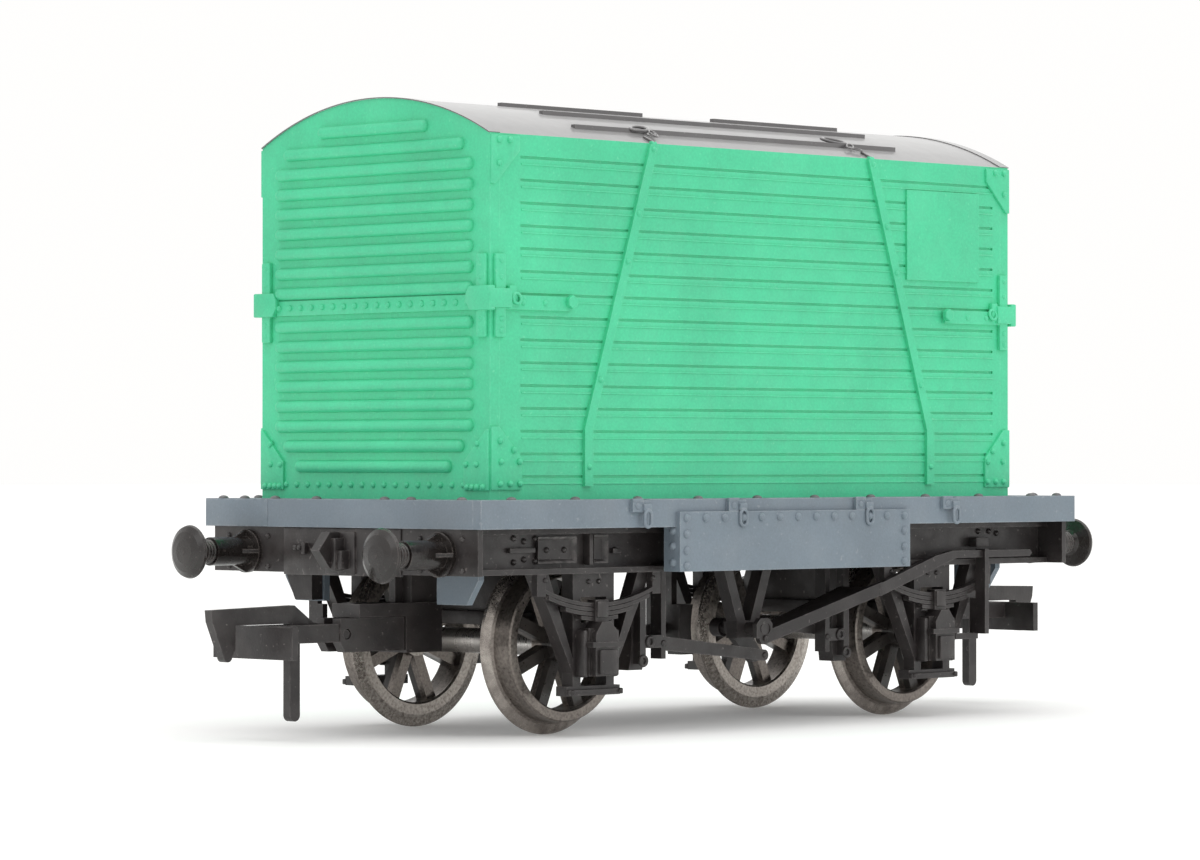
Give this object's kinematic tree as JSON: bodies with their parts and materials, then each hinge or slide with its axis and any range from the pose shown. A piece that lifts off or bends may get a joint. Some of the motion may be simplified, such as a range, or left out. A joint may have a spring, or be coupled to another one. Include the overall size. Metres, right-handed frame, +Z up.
{
  "type": "toy container flatcar",
  "caption": "Small-scale toy railway flatcar on spoked wheels, carrying a lift-off ribbed container, with sprung-look running gear and hook-and-bar couplings.",
  "frame": {"origin": "centre of the wagon, on the surface that the wheel flanges stand on", "axes": "+X along the wagon towards its front end, +Y across it towards its left side, +Z up"},
  "size_m": [0.0964, 0.0328, 0.0498],
  "materials": {
    "deck_grey": "satin",
    "frame_black": "satin",
    "wheel_metal": "dark blackened metal",
    "axle_steel": "turned",
    "ballast_steel": "plain sheet",
    "container_green": "satin",
    "container_roof": "satin",
    "container_floor": "satin"
  },
  "bodies": {
    "wagon": {"deck_floor": "deck_grey", "side_rail_right": "deck_grey", "side_rail_left": "deck_grey", "end_rail_rear": "deck_grey", "end_rail_front": "deck_grey", "chain_box_right": "deck_grey", "chain_box_left": "deck_grey", "lashing_cleats": "deck_grey", "ballast_weight": "ballast_steel", "underfloor": "frame_black", "solebar_right": "frame_black", "solebar_left": "frame_black", "headstock_rear": "frame_black", "headstock_front": "frame_black", "body_clips": "deck_grey", "draw_hooks": "frame_black", "buffer_housing_rear_right": "frame_black", "buffer_housing_rear_left": "frame_black", "buffer_housing_front_right": "frame_black", "buffer_housing_front_left": "frame_black", "buffer_head_rear_right": "frame_black", "buffer_head_rear_left": "frame_black", "buffer_head_front_right": "frame_black", "buffer_head_front_left": "frame_black", "coupling_pocket_rear": "frame_black", "coupling_pocket_front": "frame_black", "coupling_loop_rear": "frame_black", "coupling_loop_front": "frame_black", "axle_guard_rear_right": "frame_black", "axle_guard_rear_left": "frame_black", "axle_guard_front_right": "frame_black", "axle_guard_front_left": "frame_black", "axlebox_rear_right": "frame_black", "axlebox_rear_left": "frame_black", "axlebox_front_right": "frame_black", "axlebox_front_left": "frame_black", "leaf_spring_rear_right": "frame_black", "leaf_spring_rear_left": "frame_black", "leaf_spring_front_right": "frame_black", "leaf_spring_front_left": "frame_black", "v_hangers": "frame_black", "brake_shoes": "frame_black", "push_rods": "frame_black", "brake_shafts": "frame_black", "brake_lever_right": "frame_black", "brake_lever_left": "frame_black"},
    "coupling_hook_rear": {"coupling_hook_rear": "frame_black"},
    "coupling_hook_front": {"coupling_hook_front": "frame_black"},
    "wheelset_rear": {"axle_rear": "axle_steel", "wheel_rear_right": "wheel_metal", "wheel_rear_left": "wheel_metal"},
    "wheelset_front": {"axle_front": "axle_steel", "wheel_front_right": "wheel_metal", "wheel_front_left": "wheel_metal"},
    "container": {"container_side_right": "container_green", "container_side_left": "container_green", "container_end_rear": "container_green", "container_end_front": "container_green", "container_roof": "container_roof", "container_floor": "container_floor"}
  },
  "joints": [
    {"name": "wheelset_rear_spin", "type": "hinge", "parent": "wagon", "child": "wheelset_rear", "pos_m": [-0.02, 0, 0.00715], "axis": [0, 1, 0], "continuous": true},
    {"name": "wheelset_front_spin", "type": "hinge", "parent": "wagon", "child": "wheelset_front", "pos_m": [0.02, 0, 0.00715], "axis": [0, 1, 0], "continuous": true},
    {"name": "coupling_hook_rear_lift", "type": "hinge", "parent": "wagon", "child": "coupling_hook_rear", "pos_m": [-0.0354, 0, 0.0081], "axis": [0, 1, 0], "range_deg": [0, 20]},
    {"name": "coupling_hook_front_lift", "type": "hinge", "parent": "wagon", "child": "coupling_hook_front", "pos_m": [0.0354, 0, 0.0081], "axis": [0, -1, 0], "range_deg": [0, 20]},
    {"name": "container_lift", "type": "slide", "parent": "wagon", "child": "container", "axis": [0, 0, 1], "range_m": [0, 0.04]}
  ]
}
